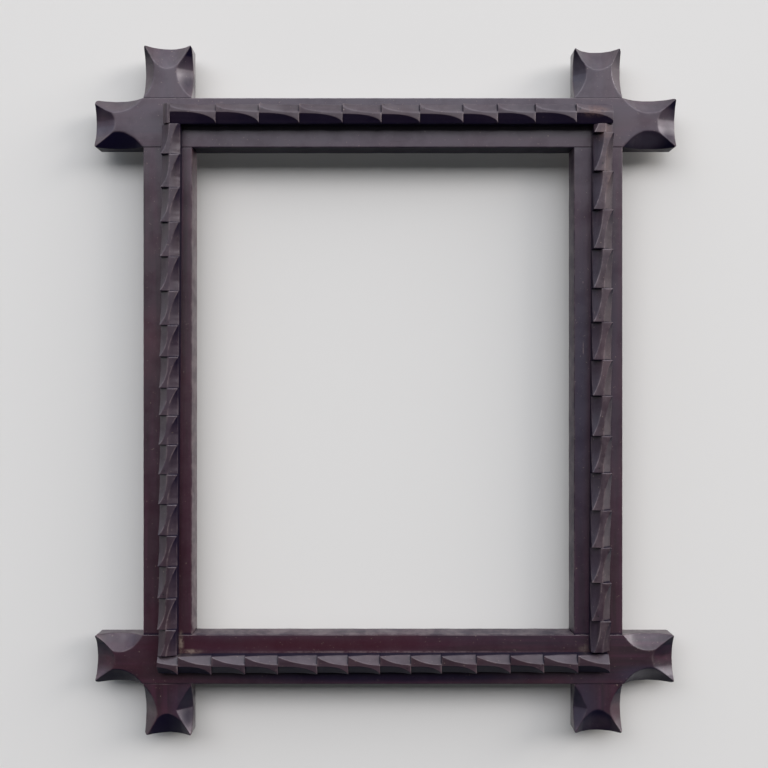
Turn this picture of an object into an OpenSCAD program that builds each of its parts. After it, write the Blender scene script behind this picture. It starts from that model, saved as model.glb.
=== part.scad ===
// Cross-corner picture frame: half-lapped boards whose ends run past the corners as scooped horns,
// mitred slips round the opening, and a gouge-notched strip pinned to the front of each board.
// X is to the right, Z is up, and the front faces -Y. The backs of the boards lie in the plane y = 0,
// and the origin is in the middle of the top rail's back.

/* [Opening] */
// Width between the stiles
opening_w = 360; // [240:1:700]
// Height between the rails
opening_h = 458.5; // [300:0.5:900]

/* [Boards] */
// Width of the two rails
rail_w = 46.2; // [40:0.2:70]
// Width of the two stiles
stile_w = 45.2; // [40:0.2:70]
// Thickness of every board
board_t = 24; // [20:0.5:36]
// Thickness of the rails where they cross in front of the stiles
lap_t = 12; // [9:0.5:14]
// Clearance at each side of a lap
lap_gap = 0.15; // [0.05:0.05:0.5]

/* [Horns] */
// How far the top rail runs past the left stile
top_rail_horn_l = 46.5; // [38:0.5:70]
// How far the top rail runs past the right stile
top_rail_horn_r = 51; // [38:0.5:70]
// How far the bottom rail runs past the left stile
bottom_rail_horn_l = 46; // [38:0.5:70]
// How far the bottom rail runs past the right stile
bottom_rail_horn_r = 49; // [38:0.5:70]
// How far the left stile runs past the top rail
left_stile_horn_t = 50; // [38:0.5:70]
// How far the left stile runs past the bottom rail
left_stile_horn_b = 49; // [38:0.5:70]
// How far the right stile runs past the top rail
right_stile_horn_t = 47.5; // [38:0.5:70]
// How far the right stile runs past the bottom rail
right_stile_horn_b = 46.5; // [38:0.5:70]

/* [Scoops of the horns] */
// How far an outer scoop cuts in over the front
outer_scoop_in = 12; // [6:0.5:14]
// How far an outer scoop cuts down the side
outer_scoop_down = 12.5; // [8:0.5:14]
// How far an inner scoop cuts in over the front
inner_scoop_in = 14.5; // [10:0.5:16]
// How far an inner scoop cuts down the side
inner_scoop_down = 11.5; // [8:0.5:16]
// How far the end scoop cuts in over the front
end_scoop_in = 20.5; // [14:0.5:24]
// How far the end scoop cuts down the end face
end_scoop_down = 12.5; // [8:0.5:14]
// Uncut length of arris at the ends of a scoop
scoop_land = 0.8; // [0.4:0.1:2]

/* [Slips] */
// Thickness of the slips that line the opening
slip_t = 3.2; // [3:0.2:6]
// Depth of the slips from the front, which leaves the rebate behind them
slip_d = 14; // [8:0.5:18]
// How much thinner the slips are at their front edge than at their back
slip_taper = 2.8; // [0.5:0.1:2.8]

/* [Carved strips] */
// Height of the strips in front of the boards
strip_h = 15; // [12:0.5:20]
// How far a full gouge cut goes down a strip's side
cut_down = 7; // [4:0.5:8]
// Width of the top strip
top_strip_w = 18.6; // [14:0.1:20]
// Width of the bottom strip
bottom_strip_w = 16.7; // [14:0.1:20]
// Width of the left strip
left_strip_w = 17.5; // [14:0.1:20]
// Width of the right strip
right_strip_w = 18.4; // [14:0.1:20]
// How far the top strip lies above the middle of its rail
top_strip_up = 5.6; // [-8:0.1:8]
// How far the bottom strip lies below the middle of its rail
bottom_strip_down = 2.1; // [-8:0.1:8]
// How far the left strip lies to the right of the middle of its stile
left_strip_in = 3.5; // [-8:0.1:8]
// How far the right strip lies to the right of the middle of its stile
right_strip_out = 1.5; // [-8:0.1:8]
// How much further right the left strip stands at its top end than at its bottom end
left_strip_lean = 3.6; // [0:0.1:4]
// How much further right the right strip stands at its top end than at its bottom end
right_strip_lean = 2.8; // [0:0.1:4]
// How much higher the bottom strip stands at its right end than at its left end
bottom_strip_lean = 1.4; // [0:0.1:2]
// Set-back of the top strip's left end from the frame's edge
top_strip_back_l = 20.5; // [10:0.5:24]
// Set-back of the top strip's right end from the frame's edge
top_strip_back_r = 11.5; // [10:0.5:24]
// Set-back of the bottom strip's left end from the frame's edge
bottom_strip_back_l = 15.4; // [10:0.5:24]
// Set-back of the bottom strip's right end from the frame's edge
bottom_strip_back_r = 14.6; // [10:0.5:24]
// Gap where the upright strips meet the others
strip_gap = 0.3; // [0.2:0.1:1]
// Gap under the right strip, which was cut short
right_strip_short = 2.4; // [0.2:0.1:4]
// Bevel on the top strip's left end
strip_end_bevel = 4; // [1:0.5:6]
// Flat left between two gouge cuts that face each other
ridge_w = 0.8; // [0.4:0.1:2]
// Uncut arris between a stop cut and the next gouge cut
tooth_land = 0.5; // [0.2:0.1:1]

/* [Pins and nails] */
// Diameter of the strips' pins
pin_d = 1.3; // [1:0.1:2]
// Depth of a pin's head below the strip's front
pin_set = 1; // [0.5:0.1:2]
// Length of a pin in the board
pin_bite = 8; // [5:0.5:10]
// Diameter of the laps' nails
nail_d = 1.8; // [1.4:0.1:2.4]
// Diameter of a nail's head
nail_head_d = 4; // [3:0.1:6]
// Thickness of a nail's head
nail_head_t = 0.9; // [0.5:0.1:1.2]
// Length of a nail in the front half of a lap
nail_bite = 7; // [4:0.5:8]
// Distance of the nails from the middle of a lap, along both boards
nail_off = 11; // [6:0.5:14]

/* [Screw eyes] */
// Diameter of a screw eye's wire
eye_wire_d = 2.4; // [1.8:0.1:3]
// Diameter of the hole in a screw eye
eye_hole_d = 7.2; // [6.6:0.1:9]
// Length of a screw eye's shank in the wood
eye_shank = 14; // [8:0.5:18]
// Length of neck between the wood and a screw eye's ring
eye_neck = 0.6; // [0.2:0.1:3]
// How far the screw eyes lie below the middle of the top rail
eye_drop = 145; // [60:1:220]

/* [Hidden] */

// Lengths of the teeth along each strip, as shares: hand-made, so no two are quite alike.
// They run from left to right, and from top to bottom.
top_teeth = [46, 43, 40.5, 43.5, 39, 38.5, 43.3, 34.7, 37.7, 41.1, 37.6];
bottom_teeth = [33.5, 33.5, 33.7, 33, 39.3, 31, 32, 31, 30.7, 35, 33.8, 33.7, 34.1, 33];
left_teeth = [34, 33.7, 34.6, 34.4, 34.5, 34.3, 31.7, 31.3, 27.5, 29.5, 29.5, 30, 31.3, 31, 31.7, 31.5, 31];
right_teeth = [38, 38.5, 38.5, 39.5, 39.5, 34, 37.8, 36, 40.2, 37, 37.5, 37.3, 35.2, 38.2, 37];

// How much of the first and of the last tooth was sawn off with the strip's ends, in the same shares.
// Below zero, that length of the strip was left uncut before the first tooth.
top_ends = [-7.4, 1];
bottom_ends = [12.6, 1.3];
left_ends = [3.5, 4.4];
right_ends = [29, 5.3];

// How far each strip's cuts go down its upper or right side, and its other side, as shares of a full cut.
top_cuts = [1.05, 0.54];
bottom_cuts = [0.87, 1.17];
left_cuts = [0.6, 1.17];
right_cuts = [1.4, 1.4];

// Each pin's place: which tooth it is in, its share of that tooth's length, and its distance from the
// strip's middle line as a share of the width. All stand where a tooth is proud and uncut.
top_pins = [[1, 0.11, 0.223], [2, 0.09, 0.25], [6, 0.1, 0.223], [10, 0.1, 0.223]];
bottom_pins = [[2, 0.87, -0.169], [7, 0.87, -0.169], [11, 0.87, -0.169]];
left_pins = [[1, 0.87, -0.175], [5, 0.87, -0.175], [10, 0.87, -0.175], [14, 0.87, -0.175]];
right_pins = [[1, 0.8, -0.079], [5, 0.87, -0.178], [9, 0.87, -0.168], [13, 0.87, -0.168]];

// How each horn's scoops differ from the common sizes, as shares: in and down for the outer one, how far
// it runs out past the tip, in and down for the inner one, in and down for the end one.
top_rail_hand_l = [1.1, 1.2, 0.2, 0.99, 0.8, 0.95, 0.8];
top_rail_hand_r = [1.15, 1, 0.02, 1.04, 0.95, 0.88, 0.7];
bottom_rail_hand_l = [1.15, 1.15, 0.12, 1.1, 0.9, 0.93, 1.05];
bottom_rail_hand_r = [1.25, 1.25, 0.08, 1, 0.8, 1.02, 0.85];
left_stile_hand_t = [0.86, 0.9, 0.02, 0.97, 1.05, 1.07, 1.2];
left_stile_hand_b = [1.08, 1.08, 0.15, 1, 1.15, 1.04, 1];
right_stile_hand_t = [0.86, 1.05, 0.15, 0.8, 1.04, 1.01, 1.4];
right_stile_hand_b = [0.97, 0.92, 0, 0.82, 0.8, 1.1, 0.95];

spare = 4;
cut_steps = 8;
body_x = opening_w / 2 + stile_w;
stile_x = (opening_w + stile_w) / 2;
rail_drop = opening_h + rail_w;
middle_z = -rail_drop / 2;
back_t = board_t - lap_t;
ring_y = eye_neck + eye_wire_d + eye_hole_d / 2;

stain = [0.17, 0.12, 0.13];
strip_stain = [0.22, 0.16, 0.16];
iron = [0.25, 0.24, 0.24];

function total(v, n) = n > 0 ? v[n - 1] + total(v, n - 1) : 0;

// Length on a strip of one share of its teeth.
function share(length, teeth, ends) = length / (total(teeth, len(teeth)) - ends[0] - ends[1]);

// A scoop cut by a round tool across an arris that runs along x at z = 0, y = -board_t.
// The tool reaches in by "over" on the front and by "down" on the side, at mid-length.
module scoop(chord, over, down) {
    slope = atan2(down, over);
    sag = over * sin(slope);
    r = chord * chord / (8 * sag) + sag / 2;
    mid = (over * cos(slope) - down * sin(slope)) / 2;
    translate([chord / 2, -board_t, 0])
        rotate([180 - slope, 0, 0])
            translate([0, r - sag, mid])
                cylinder(r = r, h = norm([over, down]) + 2 * spare, center = true, $fn = 128);
}

// The three scoops of a horn that runs along x from 0 to its length. Its outer side is at +z.
module horn_scoops(len, w, hand) {
    translate([scoop_land, 0, w / 2])
        scoop(len * (1 + hand[2]) - 2 * scoop_land, hand[0] * outer_scoop_in, hand[1] * outer_scoop_down);
    mirror([0, 0, 1])
        translate([scoop_land, 0, w / 2])
            scoop(len - 2 * scoop_land, hand[3] * inner_scoop_in, hand[4] * inner_scoop_down);
    translate([len, 0, w / 2 - scoop_land])
        rotate([0, 90, 0])
            scoop(w - 2 * scoop_land, hand[5] * end_scoop_in, hand[6] * end_scoop_down);
}

// A board along x with its outer side at +z. Its horns start at x = -half and x = half.
module board(half, w, horn_a, horn_b, hand_a, hand_b) {
    difference() {
        translate([-half - horn_a, -board_t, -w / 2])
            cube([2 * half + horn_a + horn_b, board_t, w]);
        translate([half, 0, 0])
            horn_scoops(horn_b, w, hand_b);
        mirror([1, 0, 0])
            translate([half, 0, 0])
                horn_scoops(horn_a, w, hand_a);
    }
}

// The pocket that a board leaves for the one that crosses it, from depth y0 to y1.
module lap_pocket(middle, across, w, y0, y1) {
    translate([middle - across / 2 - lap_gap, y0, -w / 2 - spare])
        cube([across + 2 * lap_gap, y1 - y0, w + 2 * spare]);
}

module rail(horn_a, horn_b, hand_a, hand_b) {
    difference() {
        board(body_x, rail_w, horn_a, horn_b, hand_a, hand_b);
        for (x = [-stile_x, stile_x])
            lap_pocket(x, stile_w, rail_w, lap_t - board_t, spare);
    }
}

module stile(horn_a, horn_b, hand_a, hand_b) {
    difference() {
        board(rail_drop / 2 + rail_w / 2, stile_w, horn_a, horn_b, hand_a, hand_b);
        for (x = [-rail_drop / 2, rail_drop / 2])
            lap_pocket(x, rail_w, stile_w, -board_t - spare, lap_t - board_t);
    }
}

// Each board's place. A turned board still has its outer side outwards.
module at_bottom() {
    translate([0, 0, -rail_drop])
        mirror([0, 0, 1])
            children();
}

module at_left() {
    translate([-stile_x, 0, middle_z])
        rotate([0, -90, 0])
            children();
}

module at_right() {
    translate([stile_x, 0, middle_z])
        mirror([1, 0, 0])
            rotate([0, -90, 0])
                children();
}

// A slip under an edge that runs along x at z = 0, mitred at both ends.
module slip(len) {
    intersection() {
        translate([-len / 2, 0, 0])
            rotate([90, 0, 90])
                linear_extrude(height = len)
                    polygon([[-board_t, 0], [-board_t + slip_d, 0], [-board_t + slip_d, -slip_t],
                             [-board_t, slip_taper - slip_t]]);
        rotate([90, 0, 0])
            linear_extrude(height = board_t + spare)
                polygon([[-len / 2, 0], [len / 2, 0], [len / 2 - slip_t, -slip_t],
                         [-len / 2 + slip_t, -slip_t]]);
    }
}

// One gouge cut along the arris at z = w / 2. It starts at nothing at x = 0 and deepens on a parabola to
// its full depth at the stop cut, x = run, where it goes "down" that far on the side.
module gouge_cut(run, w, down) {
    over = (w - ridge_w) / 2;
    slope = atan2(down, over);
    depth = over * sin(slope);
    mid = (over * cos(slope) - down * sin(slope)) / 2;
    curve = [for (i = [0:cut_steps])
        [run * i / cut_steps, -depth * (1 - pow(1 - i / cut_steps, 2))]];
    translate([0, -strip_h, w / 2])
        rotate([180 - slope, 0, 0])
            translate([0, 0, mid])
                linear_extrude(height = norm([over, down]) + 2 * spare, center = true)
                    polygon(concat(curve, [[run, spare]]));
}

// A strip along x from 0 to its length, glued at y = 0. In each tooth one cut deepens along the upper
// arris while another fades along the lower one, so the front band swings from side to side.
module strip(length, w, teeth, ends, cuts) {
    scale_x = share(length, teeth, ends);
    difference() {
        translate([0, -strip_h, -w / 2])
            cube([length, strip_h, w]);
        for (i = [0:len(teeth) - 1]) {
            from = scale_x * (total(teeth, i) - ends[0]);
            run = scale_x * teeth[i];
            translate([from + tooth_land, 0, 0])
                gouge_cut(run - tooth_land, w, cuts[0] * cut_down);
            translate([from + run - tooth_land, 0, 0])
                rotate([0, 180, 0])
                    gouge_cut(run - tooth_land, w, cuts[1] * cut_down);
        }
    }
}

// Bores or pins at a strip's pin places, between two depths in front of the boards.
module pin_rods(length, w, teeth, ends, places, y0, y1) {
    scale_x = share(length, teeth, ends);
    for (p = places)
        translate([scale_x * (total(teeth, p[0]) + p[1] * teeth[p[0]] - ends[0]), y0, p[2] * w])
            rotate([-90, 0, 0])
                cylinder(d = pin_d, h = y1 - y0, $fn = 24);
}

module pin_bores(length, w, teeth, ends, places) {
    pin_rods(length, w, teeth, ends, places, -strip_h - spare, pin_bite);
}

module pins(length, w, teeth, ends, places) {
    color(iron)
        pin_rods(length, w, teeth, ends, places, pin_set - strip_h, pin_bite);
}

// Each strip's frame: x along it, and y = 0 on the front of its board.
top_len = 2 * body_x - top_strip_back_l - top_strip_back_r;
bottom_len = 2 * body_x - bottom_strip_back_l - bottom_strip_back_r;
top_z = top_strip_up;
bottom_z = -rail_drop - bottom_strip_down;
bottom_slope = bottom_strip_lean / bottom_len;
upright_top = top_z - top_strip_w / 2 - strip_gap;
left_foot = bottom_z + bottom_strip_w / 2 - bottom_slope * opening_w / 2 + strip_gap;
right_foot = bottom_z + bottom_strip_w / 2 + bottom_slope * body_x + right_strip_short;
left_len = upright_top - left_foot;
right_len = upright_top - right_foot;

module on_top() {
    translate([top_strip_back_l - body_x, -board_t, top_z])
        children();
}

module on_bottom() {
    translate([bottom_strip_back_l - body_x, -board_t, bottom_z - bottom_strip_lean / 2])
        rotate([0, -asin(bottom_slope), 0])
            children();
}

module on_left() {
    translate([left_strip_in - stile_x + left_strip_lean / 2, -board_t, upright_top])
        rotate([0, 90 + asin(left_strip_lean / left_len), 0])
            children();
}

module on_right() {
    translate([stile_x + right_strip_out + right_strip_lean / 2, -board_t, upright_top])
        rotate([0, 90 + asin(right_strip_lean / right_len), 0])
            children();
}

// Two nails through the back of each lap, or their bores: a shank, and a head that is flush.
module lap_nails(x, z) {
    for (s = [-1, 1])
        translate([x + s * nail_off, 0, z + s * nail_off])
            rotate([90, 0, 0]) {
                cylinder(d = nail_d, h = back_t + nail_bite, $fn = 24);
                cylinder(d = nail_head_d, h = nail_head_t, $fn = 32);
            }
}

module all_lap_nails() {
    for (x = [-stile_x, stile_x], z = [0, -rail_drop])
        lap_nails(x, z);
}

// A screw eye on the back of a stile: a ring whose hole runs along x, on a shank in the wood.
module eye_shank_rod() {
    translate([0, -eye_shank, 0])
        rotate([-90, 0, 0])
            cylinder(d = eye_wire_d, h = eye_shank + eye_neck + eye_wire_d / 2, $fn = 32);
}

module screw_eye() {
    color(iron)
        union() {
            eye_shank_rod();
            translate([0, ring_y, 0])
                rotate([0, 90, 0])
                    rotate_extrude($fn = 64)
                        translate([(eye_hole_d + eye_wire_d) / 2, 0])
                            circle(d = eye_wire_d, $fn = 32);
        }
}

module top_rail() {
    color(stain)
        difference() {
            rail(top_rail_horn_l, top_rail_horn_r, top_rail_hand_l, top_rail_hand_r);
            on_top()
                pin_bores(top_len, top_strip_w, top_teeth, top_ends, top_pins);
            all_lap_nails();
        }
}

module bottom_rail() {
    color(stain)
        difference() {
            at_bottom()
                rail(bottom_rail_horn_l, bottom_rail_horn_r, bottom_rail_hand_l, bottom_rail_hand_r);
            on_bottom()
                pin_bores(bottom_len, bottom_strip_w, bottom_teeth, bottom_ends, bottom_pins);
            all_lap_nails();
        }
}

module left_stile() {
    color(stain)
        difference() {
            at_left()
                stile(left_stile_horn_b, left_stile_horn_t, left_stile_hand_b, left_stile_hand_t);
            on_left()
                pin_bores(left_len, left_strip_w, left_teeth, left_ends, left_pins);
            all_lap_nails();
            translate([-stile_x, 0, -eye_drop])
                eye_shank_rod();
        }
}

module right_stile() {
    color(stain)
        difference() {
            at_right()
                stile(right_stile_horn_b, right_stile_horn_t, right_stile_hand_b, right_stile_hand_t);
            on_right()
                pin_bores(right_len, right_strip_w, right_teeth, right_ends, right_pins);
            all_lap_nails();
            translate([stile_x, 0, -eye_drop])
                eye_shank_rod();
        }
}

module top_slip() {
    color(stain)
        translate([0, 0, -rail_w / 2])
            slip(opening_w);
}

module bottom_slip() {
    color(stain)
        translate([0, 0, rail_w / 2 - rail_drop])
            mirror([0, 0, 1])
                slip(opening_w);
}

module left_slip() {
    color(stain)
        translate([-opening_w / 2, 0, middle_z])
            rotate([0, -90, 0])
                slip(opening_h);
}

module right_slip() {
    color(stain)
        translate([opening_w / 2, 0, middle_z])
            rotate([0, 90, 0])
                slip(opening_h);
}

module top_strip() {
    color(strip_stain)
        on_top()
            difference() {
                strip(top_len, top_strip_w, top_teeth, top_ends, top_cuts);
                pin_bores(top_len, top_strip_w, top_teeth, top_ends, top_pins);
                translate([0, strip_end_bevel - strip_h, 0])
                    rotate([0, 0, -45])
                        translate([-2 * spare, -2 * spare, -top_strip_w])
                            cube([2 * spare, 4 * spare, 2 * top_strip_w]);
            }
}

module bottom_strip() {
    color(strip_stain)
        on_bottom()
            difference() {
                strip(bottom_len, bottom_strip_w, bottom_teeth, bottom_ends, bottom_cuts);
                pin_bores(bottom_len, bottom_strip_w, bottom_teeth, bottom_ends, bottom_pins);
            }
}

module left_strip() {
    color(strip_stain)
        on_left()
            difference() {
                strip(left_len, left_strip_w, left_teeth, left_ends, left_cuts);
                pin_bores(left_len, left_strip_w, left_teeth, left_ends, left_pins);
            }
}

module right_strip() {
    color(strip_stain)
        on_right()
            difference() {
                strip(right_len, right_strip_w, right_teeth, right_ends, right_cuts);
                pin_bores(right_len, right_strip_w, right_teeth, right_ends, right_pins);
            }
}

module top_strip_pins() {
    on_top()
        pins(top_len, top_strip_w, top_teeth, top_ends, top_pins);
}

module bottom_strip_pins() {
    on_bottom()
        pins(bottom_len, bottom_strip_w, bottom_teeth, bottom_ends, bottom_pins);
}

module left_strip_pins() {
    on_left()
        pins(left_len, left_strip_w, left_teeth, left_ends, left_pins);
}

module right_strip_pins() {
    on_right()
        pins(right_len, right_strip_w, right_teeth, right_ends, right_pins);
}

module top_left_lap_nails() {
    color(iron)
        lap_nails(-stile_x, 0);
}

module top_right_lap_nails() {
    color(iron)
        lap_nails(stile_x, 0);
}

module bottom_left_lap_nails() {
    color(iron)
        lap_nails(-stile_x, -rail_drop);
}

module bottom_right_lap_nails() {
    color(iron)
        lap_nails(stile_x, -rail_drop);
}

module left_screw_eye() {
    translate([-stile_x, 0, -eye_drop])
        screw_eye();
}

module right_screw_eye() {
    translate([stile_x, 0, -eye_drop])
        screw_eye();
}

top_rail();
bottom_rail();
left_stile();
right_stile();
top_slip();
bottom_slip();
left_slip();
right_slip();
top_strip();
bottom_strip();
left_strip();
right_strip();
top_strip_pins();
bottom_strip_pins();
left_strip_pins();
right_strip_pins();
top_left_lap_nails();
top_right_lap_nails();
bottom_left_lap_nails();
bottom_right_lap_nails();
left_screw_eye();
right_screw_eye();
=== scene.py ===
import math
import bmesh
import bpy
import numpy as np
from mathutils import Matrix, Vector


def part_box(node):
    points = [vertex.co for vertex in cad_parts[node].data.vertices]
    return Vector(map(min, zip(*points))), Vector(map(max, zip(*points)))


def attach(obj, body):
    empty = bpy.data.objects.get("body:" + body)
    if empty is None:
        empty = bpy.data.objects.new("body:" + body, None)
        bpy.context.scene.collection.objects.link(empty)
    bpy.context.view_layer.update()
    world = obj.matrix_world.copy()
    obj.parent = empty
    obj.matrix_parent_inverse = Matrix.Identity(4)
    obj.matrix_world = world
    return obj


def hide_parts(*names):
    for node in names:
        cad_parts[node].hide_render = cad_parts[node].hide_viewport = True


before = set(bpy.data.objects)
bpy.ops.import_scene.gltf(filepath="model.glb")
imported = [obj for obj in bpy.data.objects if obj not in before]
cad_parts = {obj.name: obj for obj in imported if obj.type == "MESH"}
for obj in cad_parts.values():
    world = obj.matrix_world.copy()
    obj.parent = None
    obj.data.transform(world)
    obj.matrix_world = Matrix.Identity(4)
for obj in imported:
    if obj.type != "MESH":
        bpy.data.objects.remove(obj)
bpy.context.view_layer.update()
mm = 0.001
mergeWithin = 0.002 * mm
crispAngle = 32  # degrees
print("frame loaded:", len(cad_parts), "nodes")

# sizes read off the frame
topLow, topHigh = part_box("top_rail")
bottomLow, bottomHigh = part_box("bottom_rail")
leftLow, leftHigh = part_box("left_stile")
rightLow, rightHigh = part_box("right_stile")
boardT = -topLow.y
railW = topHigh.z - topLow.z
stileW = leftHigh.x - leftLow.x
bodyX = -leftLow.x
openingW = -2 * leftHigh.x
railDrop = -(bottomLow.z + bottomHigh.z) / 2
openingH = railDrop - railW
stileX = bodyX - stileW / 2
middleZ = -railDrop / 2


# A mesh from arrays of points and quads, whose last two corners may be one point. Its doubles are merged,
# its edges over the crisp angle stay sharp, and it rides on the one body.
def makePiece(name, points, faces, material, attributes):
    mesh = bpy.data.meshes.new(name)
    mesh.from_pydata(points.tolist(), [], [f[:3] if f[2] == f[3] else f for f in faces.tolist()])
    for key, values in attributes.items():
        layer = mesh.attributes.new(key, "FLOAT", "POINT")
        layer.data.foreach_set("value", np.clip(values, 0, 1).astype(np.float32).ravel())
    work = bmesh.new()
    work.from_mesh(mesh)
    bmesh.ops.remove_doubles(work, verts=work.verts, dist=mergeWithin)
    bmesh.ops.recalc_face_normals(work, faces=work.faces)
    work.to_mesh(mesh)
    work.free()
    mesh.polygons.foreach_set("use_smooth", np.ones(len(mesh.polygons), bool))
    mesh.set_sharp_from_angle(angle=math.radians(crispAngle))
    mesh.materials.append(material)
    piece = bpy.data.objects.new(name, mesh)
    bpy.context.collection.objects.link(piece)
    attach(piece, "root")
    return piece


# Quads of a grid of points numbered row by row. A closed grid joins its last column to its first.
def gridFaces(rows, cols, first=0, closed=False):
    i, j = np.meshgrid(np.arange(rows - 1), np.arange(cols if closed else cols - 1), indexing="ij")
    a = first + i * cols + j
    b = first + i * cols + (j + 1) % cols
    return np.stack([a, b, b + cols, a + cols], -1).reshape(-1, 4)


# A tube of rings with a fan over each end: each centre is joined to all points of its end ring.
def cappedTube(points, rows, cols, centres):
    ring = np.arange(cols)
    faces = [gridFaces(rows, cols, closed=True)]
    for centre, start in zip(centres, (0, (rows - 1) * cols)):
        middle = np.full(cols, len(points))
        points = np.concatenate([points, np.array(centre)[None]])
        faces.append(np.stack([start + ring, start + (ring + 1) % cols, middle, middle], -1))
    return points, np.concatenate(faces)


# Two sines of unlike length, with phases from the seed: a slow wobble between -1 and 1.
def ripple(along, wavelength, seed):
    turn = 2 * np.pi * along / wavelength
    return 0.5 * np.sin(turn + seed * 1.7) + 0.5 * np.sin(turn * 1.63 + seed * 2.9)


# How far a rounded arris lies below its flat, at a distance in from the edge: r - sqrt(r2 - (r - d)2).
def quarterRound(distance, radius):
    left = np.clip(radius - distance, 0, radius)
    return radius - np.sqrt(np.maximum(radius**2 - left**2, 0))


# Places from 0 to length at an even step, drawn together at both ends, where arrises are rounded.
def edgedLine(length, step, edge=(0, 0.1, 0.28, 0.55, 0.95)):
    rim = np.array(edge) * mm
    count = max(2, int(round((length - 2 * rim[-1]) / step)))
    middle = np.linspace(rim[-1], length - rim[-1], count + 1)[1:-1]
    return np.concatenate([rim, middle, length - rim[::-1]])


# materials

# One output of a node. Arithmetic on it adds Math nodes.
class Wire:

    def __init__(self, maker, out):
        self.maker, self.out = maker, out

    def math(self, operation, *others):
        return self.maker.add("ShaderNodeMath", {"operation": operation}, dict(enumerate((self,) + others)))

    def __add__(self, other):
        return self.math("ADD", other)

    def __sub__(self, other):
        return self.math("SUBTRACT", other)

    def __rsub__(self, other):
        return self.maker.add("ShaderNodeMath", {"operation": "SUBTRACT"}, {0: other, 1: self})

    def __mul__(self, other):
        return self.math("MULTIPLY", other)

    __radd__ = __add__
    __rmul__ = __mul__

    def most(self, other):
        return self.math("MAXIMUM", other)

    def clipped(self):
        return self.maker.add("ShaderNodeClamp", {}, {0: self})

    # From low where it is 0 to 1 where it is 1.
    def atLeast(self, low):
        return low + (1 - low) * self

    # 0 below low and 1 above high, with a soft turn at both.
    def ramp(self, low, high):
        return self.maker.add("ShaderNodeMapRange", {"interpolation_type": "SMOOTHSTEP"},
                              {"Value": self, "From Min": low, "From Max": high})


# A material's node tree.
class Maker:

    def __init__(self, name):
        self.material = bpy.data.materials.new(name)
        self.material.use_nodes = True
        self.tree = self.material.node_tree
        self.shader = self.tree.nodes["Principled BSDF"]
        self.place = self.add("ShaderNodeTexCoord", {}, {}, "Object")

    def add(self, kind, settings, sockets, out=0):
        node = self.tree.nodes.new(kind)
        for key, value in settings.items():
            setattr(node, key, value)
        for key, value in sockets.items():
            if isinstance(value, Wire):
                self.tree.links.new(value.out, node.inputs[key])
            else:
                node.inputs[key].default_value = value
        return Wire(self, node.outputs[out])

    def feed(self, key, value):
        if isinstance(value, Wire):
            self.tree.links.new(value.out, self.shader.inputs[key])
        else:
            self.shader.inputs[key].default_value = value

    # Inputs 6 and 7 of a Mix node are its two colours, and its output 2 is the mixed one.
    def mix(self, factor, a, b):
        colours = {6: a if isinstance(a, Wire) else (*a, 1), 7: b if isinstance(b, Wire) else (*b, 1)}
        return self.add("ShaderNodeMix", {"data_type": "RGBA"}, {0: factor, **colours}, 2)

    def stretched(self, scale):
        return self.add("ShaderNodeMapping", {}, {"Vector": self.place, "Scale": scale})

    def noise(self, vector, scale, detail, rough):
        return self.add("ShaderNodeTexNoise", {}, {"Vector": vector, "Scale": scale, "Detail": detail,
                                                   "Roughness": rough}, "Fac")

    def bump(self, height, strength, distance):
        self.feed("Normal", self.add("ShaderNodeBump", {}, {"Strength": strength, "Distance": distance,
                                                             "Height": height}))

    def attribute(self, name):
        return self.add("ShaderNodeAttribute", {"attribute_name": name}, {}, "Fac")

    # 1 inside an ellipse on the front, fading to 0 over the soft share of its size. Sizes in mm.
    def spot(self, x, z, width, height, soft):
        shifted = self.add("ShaderNodeVectorMath", {"operation": "SUBTRACT"},
                           {0: self.place, 1: (x * mm, 0, z * mm)})
        scaled = self.add("ShaderNodeVectorMath", {"operation": "MULTIPLY"},
                          {0: shifted, 1: (1 / (width * mm), 0, 1 / (height * mm))})
        far = self.add("ShaderNodeVectorMath", {"operation": "LENGTH"}, {0: scaled}, "Value")
        return 1 - far.ramp(1 - soft, 1)


# colours of the wood, the grain's and the bands' scales along and across it, how strongly each pattern
# shows, and how rough and glossy it is
woodLook = {
    "deep": (0.018, 0.007, 0.011),
    "middle": (0.045, 0.014, 0.026),
    "warm": (0.064, 0.017, 0.025),
    # blue-grey: a tone in random bands, and in the placed tints a painted reflection of the sky
    "cool": (0.027, 0.02, 0.036),
    "maroon": (0.033, 0.005, 0.011),
    # paler grey-violet laid over the top of the frame: painted sheen
    "faded": (0.056, 0.046, 0.058),
    "edge": (0.16, 0.122, 0.12),
    "bare": (0.2, 0.12, 0.09),
    # a pale blue-grey film on what faces up: settled dust, and partly a painted paleness for the light from
    # above
    "film": (0.085, 0.095, 0.105),
    "dust": (0.27, 0.215, 0.165),
    # near-black blue laid where the wood lies in shade: painted shade
    "grime": (0.003, 0.0025, 0.014),
    "hole": (0.004, 0.003, 0.004),
    "grain": (9, 190),
    "bands": (2.2, 34),
    "warmShare": 0.55,
    "coolShare": 0.3,
    "poreShare": 0.5,
    "wearShare": 0.75,
    "filmShare": 0.3,
    "speckShare": 0.5,
    "dustLeast": 0.45,
    "grimeLeast": 0.88,
    "smearLeast": 0.7,
    "tintLeast": 0.5,
    "tintSoft": 0.9,
    "holeSize": 0.9,
    "holeSoft": 0.35,
    "roughness": 0.41,
    "broadRough": 0.14,
    "poreRough": 0.16,
    "dustRough": 0.18,
    "markRough": 0.25,
    "coat": 0.95,
    "coatIor": 1.62,
    "coatRoughness": 0.39,
    "baseSpecular": 0.06,
    "sheenLeast": 0.72,
    "sheenSpan": 0.56,
    "grimeDulls": 0.97,
    "dustDulls": 0.6,
    "maroonDulls": 0.35,
    "poreRelief": 0.6,
    "streakRelief": 0.5,
    "blotchRelief": 1.1,
    "wornRelief": 0.4,
    "holeRelief": 3.0,
    "bumpStrength": 0.35,
    "bumpHeight": 0.5 * mm,
}

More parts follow.
